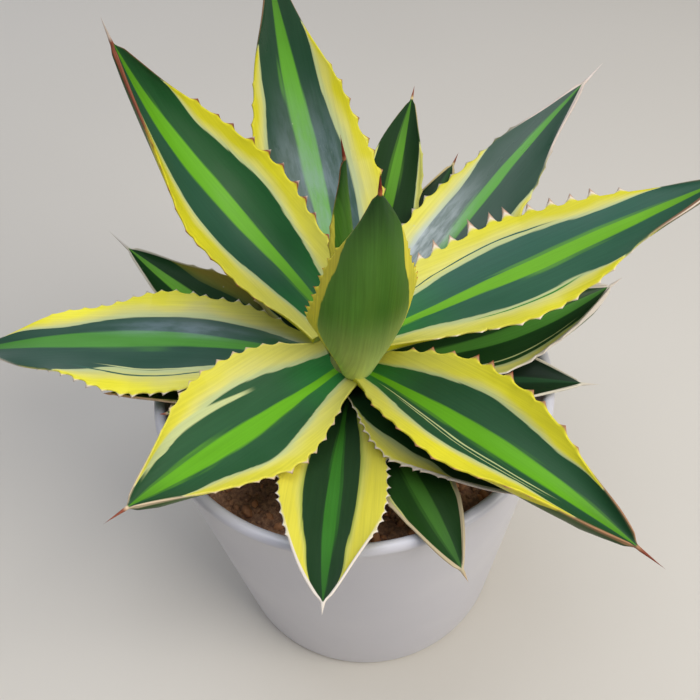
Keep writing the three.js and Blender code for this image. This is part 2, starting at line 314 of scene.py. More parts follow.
class Streak(EffectGroup):
    """One lengthwise streak of another colour, at a place across the blade."""

    name = "leaf_streak"
    numbers = ("across", "along", "root_centre", "tip_centre", "root_width", "tip_width", "start", "end")

    FIBRES = (0.5, 0.045, 1.0)
    WANDER = 0.05
    FADE = 0.08

    @classmethod
    def build(cls, graph: Graph, given: SimpleNamespace) -> dict[str, Wire]:
        """Make a soft line that fades in and out along the leaf.

        Args:
            graph: The group's graph.
            given: The wires from the group's inputs, by name.

        Returns:
            The streak's mask as the output "mask".
        """
        along, start, end = given.along, given.start, given.end
        wander = (graph.grain(given.place, cls.FIBRES) - 0.5) * cls.WANDER
        centre = graph.ramp(along, start, end, given.root_centre, given.tip_centre)
        width = graph.ramp(along, start, end, given.root_width, given.tip_width)
        line = graph.ramp(abs(given.across + wander - centre), width * 0.5, width, 1.0, 0.0)
        appear = graph.ramp(along, start, start + cls.FADE)
        return {"mask": line * appear * graph.ramp(along, end - cls.FADE, end, 1.0, 0.0)}


class Striation(EffectGroup):
    """Fine lengthwise veins and soft blotches of a fleshy skin."""

    name = "leaf_striation"
    numbers = ("strength",)
    outputs = dict.fromkeys(("shade", "height", "blotches"), "Float")

    VEINS = (1.6, 0.03, 1.0)
    BLOTCHES = (0.16, 0.05, 1.0)
    PORES = (2.4, 1.6, 1.0)

    @classmethod
    def build(cls, graph: Graph, given: SimpleNamespace) -> dict[str, Wire]:
        """Make a shade to multiply with, the height of the relief, and the blotches alone.

        Args:
            graph: The group's graph.
            given: The wires from the group's inputs, by name.

        Returns:
            The outputs "shade", "height" and "blotches".
        """
        veins = graph.grain(given.place, cls.VEINS, 3.0, 0.65)
        blotches = graph.grain(given.place, cls.BLOTCHES, 3.0)
        shade = (veins * 0.65 + blotches * 0.35 - 0.5) * (given.strength * 4.0) + 1.0
        height = veins * 0.7 + graph.grain(given.place, cls.PORES) * 0.3
        return {"shade": shade, "height": height, "blotches": blotches}


class PaintedSheen(EffectGroup):
    """A painted sheen: a bluish-white patch on the middle of a blade that stands in for the reflection of the
    sky.
    """

    name = "leaf_bloom"
    numbers = ("across", "along", "centre", "spread", "start", "end")

    CLOUDS = (0.3, 0.07, 1.0)

    @classmethod
    def build(cls, graph: Graph, given: SimpleNamespace) -> dict[str, Wire]:
        """Make a soft patch, broken up lengthwise.

        Args:
            graph: The group's graph.
            given: The wires from the group's inputs, by name.

        Returns:
            The patch's mask as the output "mask".
        """
        along, start, end, spread = given.along, given.start, given.end, given.spread
        half = (start + end) * 0.5
        sideways = graph.ramp(abs(given.across - given.centre), spread * 0.3, spread, 1.0, 0.0)
        lengthways = graph.ramp(along, start, half) * graph.ramp(along, half, end, 1.0, 0.0)
        clouds = graph.ramp(graph.grain(given.place, cls.CLOUDS, 4.0, 0.6), 0.34, 0.66, 0.3, 1.0)
        return {"mask": sideways * lengthways * clouds}


class Specks(EffectGroup):
    """A few small pale scars and dust marks, scattered thinly."""

    name = "surface_specks"
    numbers = ("spacing", "size")

    # A cell has its speck where its random value is over this.
    RARITY = 0.72

    @classmethod
    def build(cls, graph: Graph, given: SimpleNamespace) -> dict[str, Wire]:
        """Keep the middles of the cells, and only in about one cell of four.

        Args:
            graph: The group's graph.
            given: The wires from the group's inputs, by name.

        Returns:
            The specks' mask as the output "mask".
        """
        cells = graph.wires(graph.node("TexVoronoi", {"Vector": given.place, "Scale": 1.0 / given.spacing}))
        dots = graph.ramp(cells.distance, given.size * 0.4, given.size, 1.0, 0.0)
        return {"mask": dots * (cells.color > cls.RARITY)}


# ---- Finishes ----


class Surface(Graph):
    """The graph of one material, which ends in its Principled BSDF."""

    def __init__(self, name: str) -> None:
        """Start a material.

        Args:
            name: The material's name.
        """
        self.material = bpy.data.materials.new(name)
        self.material.use_nodes = True
        super().__init__(self.material.node_tree)

    def place(self) -> Wire:
        """Give the place in the object's own axes, in metres."""
        return self.wire(self.node("TexCoord", {}), "Object")

    def relief(self, height: Wire, strength: float, depth: float) -> Wire:
        """Give the normal of a relief that is this many millimetres deep."""
        return self.wire(self.node("Bump", {"Height": height, "Strength": strength, "Distance": depth * MM}))

    def finished(self, feeds: Feeds) -> bpy.types.Material:
        """Feed the Principled BSDF and give the material."""
        self.feed(self.tree.nodes["Principled BSDF"].inputs, feeds)
        return self.material


class StreakTint(Enum):
    """What a streak is made of."""

    PALE = "#c6cf93"
    DARK = "#2f5e4c"
    GREEN = "#3f8a34"


@dataclass(frozen=True)
class StreakLine:
    """A streak of one leaf: its places across, its half widths and its stretch, from root to tip."""

    tint: StreakTint
    centres: tuple[float, float]
    widths: tuple[float, float]
    stretch: tuple[float, float]


@dataclass(frozen=True)
class PaintedSheenPatch:
    """The painted sheen of one leaf, a patch that stands in for the sky's reflection: its strength, its
    middle and spread across, its stretch and tint.
    """

    strength: float
    centre: float
    spread: float
    stretch: tuple[float, float]
    tint: str = "#93a5b8"


@dataclass(frozen=True)
class LeafSkin:
    """The finish of a leaf: its colours, and where each of them ends across and along the blade."""

    band: str = "#245340"
    right_band: str = ""
    stripe: str = "#66ac1f"
    seam: str = "#bfca92"
    cream: str = "#dfda78"
    margin: str = "#dfd72a"
    root: str = "#2c7a38"
    underside: str = "#4f6b2c"
    right_underside: str = ""
    under_root: str = "#c3cc80"
    horn: str = "#d6c08a"
    horn_tip: str = "#8c4a30"
    stripe_width: float = 0.17
    stripe_centre: float = 0.0
    left_edge: float = 0.64
    right_edge: float = 0.64
    base_edge: float = 0.5
    left_reach: float = 0.94
    right_reach: float = 0.94
    seam_share: float = 1.0
    root_reach: float = 0.3
    tip_shade: float = 0.45
    under_left: float = 0.84
    under_right: float = 0.84
    under_base: float = 0.84
    veins: float = 0.14
    gloss: float = 0.42
    shine: float = 0.22
    rim: float = 0.22
    # The horny edge of the upper face: its widths at the tip in millimetres, at across -1 and at
    # across 1, where it starts, and its tint if that isn't the horn's.
    edging: tuple[float, float] = (0.3, 0.3)
    edging_from: float = 0.5
    edging_tint: str = ""
    streaks: tuple[StreakLine, ...] = ()
    painted_sheen: Optional[PaintedSheenPatch] = None

    SPECK_TINT: ClassVar[str] = "#c9ceb4"
    SPECK_SPACING: ClassVar[float] = 9.0
    SPECK_SIZE: ClassVar[float] = 0.05
    SPECK_STRENGTH: ClassVar[float] = 0.4
    EDGING_SOFTNESS: ClassVar[float] = 0.12

    def upper(self, graph: Graph, pattern: dict[str, Feed]) -> Wire:
        """Give the colour of the upper face, streaks and all.

        Args:
            graph: The material's graph.
            pattern: The wires of the place, and of the places across and along.

        Returns:
            The colour's wire.
        """
        feeds = {name: getattr(self, name) for name in Variegation.numbers if name not in pattern}
        feeds |= {name: colour(getattr(self, name) or self.band) for name in Variegation.tints}
        made = Variegation.place(graph, pattern | feeds).colour
        for streak in self.streaks:
            values = dict(zip(Streak.numbers[2:], (*streak.centres, *streak.widths, *streak.stretch)))
            made = graph.mix(Streak.place(graph, pattern | values).mask, made, colour(streak.tint.value))
        return made

    def under(self, graph: Graph, pattern: dict[str, Feed]) -> Wire:
        """Give the colour of the underside: no stripe or seam, and a pale root.

        Args:
            graph: The material's graph.
            pattern: The wires of the place, and of the places across and along.

        Returns:
            The colour's wire.
        """
        skin = LeafSkin(
            band=self.underside, right_band=self.right_underside, stripe=self.underside, seam=self.margin,
            cream=self.margin, margin=self.margin, root=self.under_root, stripe_width=0.0,
            left_edge=self.under_left, right_edge=self.under_right, base_edge=self.under_base,
            root_reach=0.55, tip_shade=0.8,
        )
        return skin.upper(graph, pattern)

    def material(self, name: str) -> bpy.types.Material:
        """Build the leaf's material.

        Args:
            name: The material's name.

        Returns:
            The material, which reads the leaf mesh's own attributes.
        """
        graph = Surface(name)
        across, along = graph.attribute("across"), graph.attribute("along")
        place, horn = graph.attribute("place", "Vector"), graph.attribute("horn")
        pattern = {"place": place, "across": across, "along": along}
        skin = graph.mix(graph.attribute("under"), self.upper(graph, pattern), self.under(graph, pattern))
        veins = Striation.place(graph, {"place": place, "strength": self.veins})
        skin = graph.mix(1.0, skin, veins.shade, "MULTIPLY")
        # Painted sheen: a bluish-white patch that stands in for the sky's reflection on the blade.
        if self.painted_sheen:
            values = (self.painted_sheen.centre, self.painted_sheen.spread, *self.painted_sheen.stretch)
            sheen_mask = PaintedSheen.place(graph, pattern | dict(zip(PaintedSheen.numbers[2:], values))).mask
            skin = graph.mix(sheen_mask * self.painted_sheen.strength, skin, colour(self.painted_sheen.tint))
        specks = {"place": place, "spacing": self.SPECK_SPACING, "size": self.SPECK_SIZE}
        strength = Specks.place(graph, specks).mask * self.SPECK_STRENGTH
        skin = graph.mix(strength, skin, colour(self.SPECK_TINT))
        full_width = graph.ramp(across > 0.0, 0.0, 1.0, *self.edging)
        width = graph.ramp(along, self.edging_from, 1.0, 0.0, full_width)
        inset = graph.attribute("inset") - width
        edging = graph.ramp(inset, -self.EDGING_SOFTNESS, self.EDGING_SOFTNESS, 1.0, 0.0)
        edging = edging * graph.ramp(width, 0.05, 0.3)
        skin = graph.mix(edging, skin, colour(self.edging_tint or self.horn))
        horn_tint = graph.mix(graph.ramp(horn, 0.5, 0.95), colour(self.horn), colour(self.horn_tip))
        return graph.finished({
            "Base Color": graph.mix(graph.ramp(horn, 0.1, 0.45), skin, horn_tint),
            "Roughness": graph.ramp(veins.blotches, 0.3, 0.7, self.gloss - 0.06, self.gloss + 0.1),
            "Normal": graph.relief(veins.height, 0.25, 0.15),
            "Specular IOR Level": self.shine,
        })


@dataclass(frozen=True)
class GlazeFinish:
    """The pot's satin white glaze. The noises are this fine per metre."""

    body: str = "#d3d2da"
    shade: str = "#cac9d2"
    clouds: float = 22.0
    pits: float = 420.0

    def material(self) -> bpy.types.Material:
        """Build a faintly clouded, softly pitted white.

        Returns:
            The material.
        """
        graph = Surface("pot_glaze")
        clouds = graph.noise(graph.place(), self.clouds, 3.0)
        return graph.finished({
            "Base Color": graph.mix(clouds, colour(self.body), colour(self.shade)),
            "Roughness": graph.ramp(clouds, 0.3, 0.7, 0.3, 0.42),
            "Normal": graph.relief(graph.noise(graph.place(), self.pits), 0.12, 0.1),
            "Coat Roughness": 0.25,
            "Coat Weight": 0.2,
        })


@dataclass(frozen=True)
class SoilFinish:
    """Moist potting mix: peat crumbs with some red-brown bark. The grains are this fine per metre."""

    peat: str = "#84604a"
    crumb: str = "#b88a68"
    bark: str = "#cc8c5e"
    grains: float = 900.0

    def material(self) -> bpy.types.Material:
        """Build a rough brown that changes from grain to grain.

        Returns:
            The material.
        """
        graph = Surface("potting_mix")
        grains = graph.noise(graph.place(), self.grains, 4.0, 0.6)
        base = graph.mix(graph.ramp(grains, 0.35, 0.7), colour(self.peat), colour(self.crumb))
        return graph.finished({
            "Base Color": graph.mix(graph.ramp(graph.attribute("grain"), 0.62, 1.0), base, colour(self.bark)),
            "Roughness": graph.ramp(grains, 0.3, 0.8, 0.75, 0.95),
            "Normal": graph.relief(grains, 0.6, 0.5),
        })


@dataclass(frozen=True)
class StemFinish:
    """The pale fibrous stem between the leaf roots. The fibres are this fine per metre."""

    flesh: str = "#b3bb74"
    fibre: str = "#7d7a44"
    fibres: float = 900.0
    stretch: tuple[float, float, float] = (1.0, 1.0, 0.12)

    def material(self) -> bpy.types.Material:
        """Build a matte green with upright fibres.

        Returns:
            The material.
        """
        graph = Surface("stem_fibre")
        fibres = graph.grain(graph.place(), self.stretch, 3.0, scale=self.fibres)
        return graph.finished({
            "Base Color": graph.mix(fibres, colour(self.flesh), colour(self.fibre)),
            "Roughness": graph.ramp(fibres, 0.3, 0.7, 0.6, 0.8),
            "Normal": graph.relief(fibres, 0.4, 0.2),
        })


# ---- Meshes ----


def mesh_object(name: str, points: np.ndarray, faces: Faces) -> bpy.types.Object:
    """Make a smooth mesh object from points in millimetres.

    Args:
        name: The object's name.
        points: One row of three millimetre values for each point.
        faces: The corners of each face.

    Returns:
        The new object, linked to the scene.
    """
    mesh = bpy.data.meshes.new(name)
    mesh.from_pydata((points * MM).tolist(), [], faces)
    mesh.validate()
    mesh.shade_smooth()
    made = bpy.data.objects.new(name, mesh)
    bpy.context.scene.collection.objects.link(made)
    return made


def write_attribute(made: bpy.types.Object, name: str, values: np.ndarray) -> None:
    """Store a number or a vector for each point of an object's mesh.

    Args:
        made: The object.
        name: The attribute's name.
        values: One number or one row of three for each point.
    """
    kind, key = ("FLOAT", "value") if values.ndim == 1 else ("FLOAT_VECTOR", "vector")
    layer = made.data.attributes.new(name, kind, "POINT")
    layer.data.foreach_set(key, values.astype(np.float32).ravel())


def tube_faces(rings: int, sides: int) -> Faces:
    """Give the faces of a closed tube of rings of points, with a point that closes each end.

    Args:
        rings: How many rings there are. Their points come first, ring by ring.
        sides: How many points each ring has. The first ring's end point follows the last ring, and
            the last ring's end point comes last of all.

    Returns:
        The corners of each face. They face out where the rings turn left and go down.
    """
    faces: Faces = []
    first, last, low = rings * sides, rings * sides + 1, (rings - 1) * sides
    for k in range(sides):
        after = (k + 1) % sides
        faces += [(first, k, after), (last, low + after, low + k)]
        for near in range(0, low, sides):
            far = near + sides
            faces.append((near + k, far + k, far + after, near + after))
    return faces


def lathe(name: str, profile: np.ndarray, sides: int) -> bpy.types.Object:
    """Turn an outline round the Z axis into one closed skin.

    Args:
        name: The object's name.
        profile: Radius and height of each point, from the axis and back to the axis.
        sides: How many steps there are round the axis.

    Returns:
        The turned object.
    """
    turns = np.linspace(0, -2 * np.pi, sides, endpoint=False)
    radii, heights = profile[1:-1].T
    grid = (np.outer(radii, np.cos(turns)), np.outer(radii, np.sin(turns)), np.outer(heights, np.ones(sides)))
    ends = [(0, 0, profile[0, 1]), (0, 0, profile[-1, 1])]
    points = np.vstack([np.stack(grid, axis=-1).reshape(-1, 3), ends])
    return mesh_object(name, points, tube_faces(len(radii), sides))


def arc(centre: tuple[float, float], radius: float, start: float, end: float, steps: int) -> np.ndarray:
    """Give the points of an arc, from one angle in degrees to another."""
    turns = np.radians(np.linspace(start, end, steps + 1))
    return np.stack([centre[0] + radius * np.cos(turns), centre[1] + radius * np.sin(turns)], axis=-1)


# ---- The pot and its filling ----


@dataclass
class Pot:
    """A plain tapered pot with a softly rolled lip."""

    height: float = 116.0
    rim_radius: float = 65.0
    foot_radius: float = 54.0
    foot_rounding: float = 4.0
    wall: float = 3.2
    floor: float = 6.0
    lip_depth: float = 6.5
    lip_overhang: float = 0.6
    # Where the lip's arc starts under its outer side, in degrees, and the steps of the two arcs.
    lip_from: float = -30.0
    lip_steps: int = 22
    foot_steps: int = 8
    # How far over the foot's rounding the straight wall starts, and the bevel where it meets the floor.
    wall_from: float = 3.0
    bevel: float = 2.0
    outer_steps: int = 12
    inner_steps: int = 8
    sides: int = 192
    finish: GlazeFinish = field(default_factory=GlazeFinish)

    def wall_radius(self, z: float) -> float:
        """Give the outer radius at a height."""
        share = (z - self.foot_rounding) / (self.height - self.foot_rounding)
        return self.foot_radius + share * (self.rim_radius - self.lip_overhang - self.foot_radius)

    def profile(self) -> np.ndarray:
        """Lay out the outline, from the middle of the foot round to the middle of the floor.

        Returns:
            The radius and the height of each of its points.
        """
        lip = (self.wall + self.lip_overhang) / 2
        foot_centre = (self.foot_radius - self.foot_rounding, self.foot_rounding)
        lip_centre = (self.rim_radius - lip, self.height - lip)
        neck = self.height - self.lip_depth
        heights = np.linspace(self.foot_rounding + self.wall_from, neck, self.outer_steps)
        outer = [(self.wall_radius(z), z) for z in heights]
        heights = np.linspace(neck, self.floor + self.bevel, self.inner_steps)
        inner = [(self.wall_radius(z) - self.wall, z) for z in heights]
        return np.vstack([
            [(0.0, 0.0)],
            [(self.foot_radius * 0.5, 0.0)],
            arc(foot_centre, self.foot_rounding, -90, 0, self.foot_steps),
            outer,
            arc(lip_centre, lip, self.lip_from, 180, self.lip_steps),
            inner,
            [(self.wall_radius(self.floor) - self.wall - self.bevel, self.floor)],
            [(0.0, self.floor)],
        ])

    def build(self) -> bpy.types.Object:
        """Make the pot and dress it.

        Returns:
            The pot, which stands for its node of the frame.
        """
        made = lathe("pot_glazed", self.profile(), self.sides)
        made.data.materials.append(self.finish.material())
        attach(made, BODY)
        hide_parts("pot")
        return made


@dataclass
class Soil:
    """Potting mix that fills the pot: a lumpy bed with loose crumbs and bark on it."""

    pot: Pot
    drop: float = 12.0
    clearance: float = 0.3
    rings: int = 72
    sides: int = 200
    crumbs: int = 1500
    # Radii from and to which the crumbs go, those of peat and the rarer ones of bark.
    peat_sizes: tuple[float, float] = (0.6, 1.5)
    bark_sizes: tuple[float, float] = (1.2, 3.2)
    bark_from: float = 0.8
    # The ranges of a crumb's breadth and height in lengths, its knobs, its tilt in radians and its lift.
    breadths: tuple[float, float] = (0.5, 0.9)
    heights: tuple[float, float] = (0.3, 0.7)
    knobs: tuple[float, float] = (0.75, 1.2)
    tilts: tuple[float, float] = (-0.5, 0.5)
    lifts: tuple[float, float] = (-0.1, 0.5)
    # How wide the even strip along the wall is, and how far off the wall the crumbs keep.
    even_strip: float = 2.0
    bare_strip: float = 3.0
    bed_tint: float = 0.2
    seed: int = 11
    finish: SoilFinish = field(default_factory=SoilFinish)

    @property
    def level(self) -> float:
        """Give the height of the bed over the pot's foot."""
        return self.pot.height - self.drop

    def lumps(self, x: float, y: float) -> float:
        """Give the height over the bed's level at a place: broad swells and finer lumps."""
        broad = math.sin(0.31 * x + 1.3 * math.sin(0.17 * y)) * math.cos(0.27 * y - 0.9)
        return broad + 1.3 * noise.fractal(Vector((x * 0.35, y * 0.35, 3.1)), 0.8, 2.1, 4)

    def bed(self) -> tuple[np.ndarray, Faces]:
        """Make the bed: a lumpy top, a wall and a flat underside.

        Returns:
            Its points and its faces.
        """
        inset = self.pot.wall + self.clearance
        bottom = self.pot.floor + self.clearance
        edge, foot = (self.pot.wall_radius(z) - inset for z in (self.level, bottom))
        turns = np.linspace(0, 2 * np.pi, self.sides, endpoint=False)
        points: list[tuple[float, float, float]] = []
        for radius in np.linspace(edge / self.rings, edge, self.rings):
            share = min(1.0, (edge - radius) / self.even_strip)
            for turn in turns:
                x, y = radius * math.cos(turn), radius * math.sin(turn)
                points.append((x, y, self.level + share * self.lumps(x, y)))
        points += [(foot * math.cos(turn), foot * math.sin(turn), bottom) for turn in turns]
        points += [(0.0, 0.0, self.level), (0.0, 0.0, bottom)]
        return np.array(points), tube_faces(self.rings + 1, self.sides)

    def crumb(self, rng: np.random.Generator) -> tuple[np.ndarray, float]:
        """Make one crumb: a squashed, knobbly ball that lies somewhere on the bed.

        Args:
            rng: Where the random draws come from.

        Returns:
            The points of the crumb and its tint, from dark peat at 0 to bark at 1.
        """
        tint = rng.uniform()
        size = rng.uniform(*(self.peat_sizes if tint < self.bark_from else self.bark_sizes))
        stretch = np.array([1.0, rng.uniform(*self.breadths), rng.uniform(*self.heights)])
        knobs = rng.uniform(*self.knobs, size=(len(CRUMB_POINTS), 1))
        points = CRUMB_POINTS * knobs * stretch * size
        turn = Matrix.Rotation(rng.uniform(0, 2 * math.pi), 3, "Z")
        turn = turn @ Matrix.Rotation(rng.uniform(*self.tilts), 3, "X")
        points = points @ np.array(turn).T
        reach = self.pot.wall_radius(self.level) - self.pot.wall - self.bare_strip
        radius = reach * math.sqrt(rng.uniform(0.02, 1.0))
        angle = rng.uniform(0, 2 * math.pi)
        x, y = radius * math.cos(angle), radius * math.sin(angle)
        lift = rng.uniform(*self.lifts) * size * stretch[2]
        return points + np.array([x, y, self.level + self.lumps(x, y) + lift]), tint

    def build(self) -> bpy.types.Object:
        """Make the bed with its crumbs as one piece and dress it.

        Returns:
            The soil, which stands for its node of the frame.
        """
        rng = np.random.default_rng(self.seed)
        points, faces = self.bed()
        crumbs, tints = zip(*(self.crumb(rng) for _ in range(self.crumbs)))
        for start in range(len(points), len(points) + self.crumbs * len(CRUMB_POINTS), len(CRUMB_POINTS)):
            faces += [tuple(start + i for i in face) for face in CRUMB_FACES]
        tints = np.concatenate([np.full(len(points), self.bed_tint), np.repeat(tints, len(CRUMB_POINTS))])
        made = mesh_object("soil_mix", np.vstack([points, *crumbs]), faces)
        write_attribute(made, "grain", tints)
        made.data.materials.append(self.finish.material())
        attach(made, BODY)
        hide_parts("soil")
        return made


def ball() -> tuple[np.ndarray, Faces]:
    """Make a small ball of radius 1, with 12 points and 20 faces.

    Returns:
        Its points and its faces.
    """
    golden = (1 + math.sqrt(5)) / 2
    corners = []
    for first in (-1, 1):
        for second in (-golden, golden):
            corners += [(0, first, second), (first, second, 0), (second, 0, first)]
    points = np.array(corners) / math.hypot(1, golden)
    side = min(np.linalg.norm(points[0] - point) for point in points[1:])
    faces: Faces = []
    for a, b, c in combinations(range(len(points)), 3):
        if max(np.linalg.norm(points[i] - points[j]) for i, j in ((a, b), (b, c), (a, c))) < side * 1.1:
            normal = np.cross(points[b] - points[a], points[c] - points[a])
            faces.append((a, b, c) if normal @ points[a] > 0 else (a, c, b))
    return points, faces


CRUMB_POINTS, CRUMB_FACES = ball()


# ---- The leaves ----


@dataclass(frozen=True)
class LeafKind:
    """What the leaves of one age share: shares of the width and length, and gutter angles in radians."""

    neck: float
    peak: float
    taper: float
    spine: float
    root_fold: float
    tip_fold: float
    slot: str


SPEAR = LeafKind(neck=0.6, peak=0.45, taper=1.5, spine=9.0, root_fold=1.2, tip_fold=0.0, slot="leaf")
OPEN = LeafKind(neck=0.4, peak=0.47, taper=1.4, spine=9.0, root_fold=0.9, tip_fold=0.3, slot="leaf")
OLD = LeafKind(neck=0.55, peak=0.5, taper=1.5, spine=5.0, root_fold=0.9, tip_fold=0.3, slot="old_leaf")


class Rim:
    """The round horny margin and its teeth, in millimetres."""

    THICKNESS = 0.8
    # How much of the thickness is left at the spine.
    TIP_SHARE = 0.6
    # Where the teeth stand closer than this, each tooth's base and its hump are smaller in step.
    WIDE_SPACING = 6.2
    HEIGHT = 2.4
    HALF_BASE = 1.9
    HOOK = 0.9
    HUMP = 0.45
    SHARPNESS = 1.3
    # How much of its thickness the rim loses at a full tooth's point.
    THINNING = 0.55
    # The stretch of the margin that has teeth, as shares of the length.
    TEETH_FROM, TEETH_TO = 0.13, 0.78
    # How far a tooth may stand off its even place, in spacings, and the ranges of its size and hook.
    JITTER = 0.16
    SIZES = (0.65, 1.1)
    HOOKS = (-0.2, 1.0)
    # Where in their row the teeth are tallest, and how fast they get lower from there.
    TALLEST = 0.45
    FADING = 1.8
    # The rows of points over a tooth, in halves of its base, and the humps in the gap after it.
    ROWS = np.array([-1, -0.6, -0.32, -0.13, 0, 0.13, 0.32, 0.6, 1])
    GAP_HUMPS = np.array([0.3, 0.1, 0.3])


class Section:
    """The ring of points round a leaf: the upper face, one rim, the lower face, the other rim."""

    UPPER = np.sin(np.linspace(-1, 1, 31) * np.pi / 2)
    LOWER = np.sin(np.linspace(1, -1, 17) * np.pi / 2)
    # The rim's points: how far out past the margin and how deep under the upper face, in rim thicknesses.
    RIM_OUT = np.array([0.3, 0.45, 0.3])
    RIM_DEPTH = np.array([0.12, 0.5, 0.88])
    # How much of a tooth's height each rim point takes.
    RIM_TOOTH = np.array([0.45, 1.0, 0.45])

    @classmethod
    def columns(cls) -> dict[str, np.ndarray]:
        """Give, for each point of the ring, its place across and what kind of point it is.

        Returns:
            Rows of values by name, one value for each point.
        """
        rim, upper, lower = np.ones(len(cls.RIM_OUT)), 0 * cls.UPPER, 0 * cls.LOWER
        parts = {
            "across": (cls.UPPER, rim, cls.LOWER, -rim),
            "lower": (upper, 0 * rim, lower + 1, 0 * rim),
            "out": (upper, cls.RIM_OUT, lower, cls.RIM_OUT),
            "depth": (upper, cls.RIM_DEPTH, lower, cls.RIM_DEPTH[::-1]),
            "tooth": (upper, cls.RIM_TOOTH, lower, cls.RIM_TOOTH),
        }
        return {name: np.concatenate(part)[None, :] for name, part in parts.items()}


@dataclass(frozen=True)
class Leaf:
    """One leaf, by the same values as its solid in the frame.

    The azimuth is the way that it grows out, in degrees from +X towards +Y, and the swing is how far
    it turns aside by its tip. The rise is its slope at the root and at the tip. The height is its
    root's height over the soil. The fold is half the angle of its gutter at the middle, in radians.
    Where the neck, the peak, the taper or the spine is 0, the leaf has its kind's.

    In the methods, s is a place along the leaf: 0 at the root, 1 at the blade's end and more than 1
    on the spine. Across is -1 at one margin and 1 at the other.
    """

    name: str
    kind: LeafKind
    azimuth: float
    swing: float
    rise: tuple[float, float]
    length: float
    width: float
    fold: float
    roll: float
    height: float
    skin: LeafSkin
    neck: float = 0.0
    peak: float = 0.0
    taper: float = 0.0
    spine: float = 0.0
    skew: float = 0.0
    ripple: float = 0.35
    # How tall the teeth are, as a share of the full height, at across -1 and at across 1.
    teeth: tuple[float, float] = (1.0, 1.0)
    # How much further the gutter closes towards the tip than on the solid, in radians.
    furl: float = 0.0
    # How much thicker than the solid the blade is just behind its tip, in millimetres.
    keel: float = 0.0
    tooth_spacing: float = 6.2

    ROOT_RADIUS: ClassVar[float] = 6.0
    SPINE_RADIUS: ClassVar[float] = 0.5
    SOIL_LEVEL: ClassVar[float] = 104.0
    # How far the midrib is walked out, in lengths, and in how many steps.
    WALK: ClassVar[tuple[float, int]] = (1.2, 601)
    # The thickness on the midrib as a share of the width, at the root and at the tip.
    STOUTNESS: ClassVar[tuple[float, float]] = (0.16, 0.04)
    # Over what places the corner at the widest place is rounded.
    PEAK_ROUNDING: ClassVar[tuple[float, ...]] = (-0.08, -0.04, 0.0, 0.04, 0.08)
    # The lengths of the slow waves of the outline and of the face, in millimetres.
    EDGE_WAVE: ClassVar[float] = 31.0
    FACE_WAVE: ClassVar[float] = 43.0
    # An inset that is well inside every margin.
    DEEP_INSET: ClassVar[float] = 9.0
    # The stretches over which the humps fade out, the furl and the keel come in, the rim gets thinner
    # and the section becomes round, and the most that the keel takes of the half width.
    HUMPS_OUT: ClassVar[tuple[float, float]] = (0.5, 0.8)
    FURL_IN: ClassVar[tuple[float, float]] = (0.5, 0.95)
    KEEL_IN: ClassVar[tuple[float, float]] = (0.45, 0.8)
    SLENDER: ClassVar[tuple[float, float]] = (0.9, 1.0)
    ROUNDING: ClassVar[tuple[float, float]] = (0.965, 1.0)
    MOST_KEEL: ClassVar[float] = 0.6
    # The steps of the rows before the teeth, from them nearly to the tip, at the tip and on the spine.
    ROOT_ROWS: ClassVar[int] = 10
    BLADE_ROWS: ClassVar[int] = 16
    TIP_ROWS: ClassVar[int] = 8
    SPINE_ROWS: ClassVar[int] = 11

    def own(self, name: str) -> float:
        """Give the leaf's own value, or else its kind's."""
        return getattr(self, name) or getattr(self.kind, name)

    def direction(self, s: np.ndarray) -> np.ndarray:
        """Give the direction along the leaf.

        Args:
            s: The places along the leaf.

        Returns:
            A direction of length 1 for each place.
        """
        slope = np.radians(self.rise[0] + (self.rise[1] - self.rise[0]) * np.minimum(s, 1.0))
        level = (np.cos(slope) * np.cos(self.heading(s)), np.cos(slope) * np.sin(self.heading(s)))
        return np.stack([*level, np.sin(slope)], axis=-1)

    def heading(self, s: np.ndarray) -> np.ndarray:
        """Give the compass direction at s, in radians."""
        return np.radians(self.azimuth + self.swing * s)

    def midrib(self, s: np.ndarray) -> np.ndarray:
        """Give the points of the midrib, by walking out from the root.

        Args:
            s: The places along the leaf.

        Returns:
            A point for each place.
        """
        steps = np.linspace(0, *self.WALK)
        middles = (steps[1:] + steps[:-1]) / 2
        walked = np.cumsum(self.direction(middles) * self.length * (steps[1] - steps[0]), axis=0)
        heading = math.radians(self.azimuth)
        root = np.array([
            self.ROOT_RADIUS * math.cos(heading),
            self.ROOT_RADIUS * math.sin(heading),
            self.height + self.SOIL_LEVEL,
        ])
        path = np.vstack([root, root + walked])
        return np.stack([np.interp(s, steps, path[:, axis]) for axis in range(3)], axis=-1)

    def axes(self, s: np.ndarray) -> tuple[np.ndarray, np.ndarray, np.ndarray]:
        """Give the leaf's own axes.

        Args:
            s: The places along the leaf.

        Returns:
            The directions along the leaf, across it and out of its upper face, for each place.
        """
        along, heading, roll = self.direction(s), self.heading(s), math.radians(self.roll)
        level = np.stack([-np.sin(heading), np.cos(heading), 0 * heading], axis=-1)
        across = math.cos(roll) * level + math.sin(roll) * np.cross(along, level)
        return along, across, np.cross(along, across)

    def half_width(self, s: np.ndarray) -> np.ndarray:
        """Give half the blade's width, with the corner at its widest place rounded off.

        Args:
            s: The places along the leaf.

        Returns:
            Half the width at each place.
        """
        plain = self.plain_half_width(s)
        rounded = np.mean([self.plain_half_width(s + step) for step in self.PEAK_ROUNDING], axis=0)
        return plain + (rounded - plain) * (1 - smoothstep(0.1, 0.22, np.abs(s - self.own("peak"))))

    def plain_half_width(self, s: np.ndarray) -> np.ndarray:
        """Give half the width of the solid's blade.

        Args:
            s: The places along the leaf.

        Returns:
            Half the width at each place.
        """
        neck, peak, taper = self.own("neck"), self.own("peak"), self.own("taper")
        rising = neck + (1 - neck) * np.sin(np.pi / 2 * np.clip(s / peak, 0, 1)) ** 1.3
        falling = 1 - np.clip((s - peak) / (1 - peak), 0, 1) ** taper
        return np.maximum(self.width / 2 * np.where(s < peak, rising, falling), self.SPINE_RADIUS)

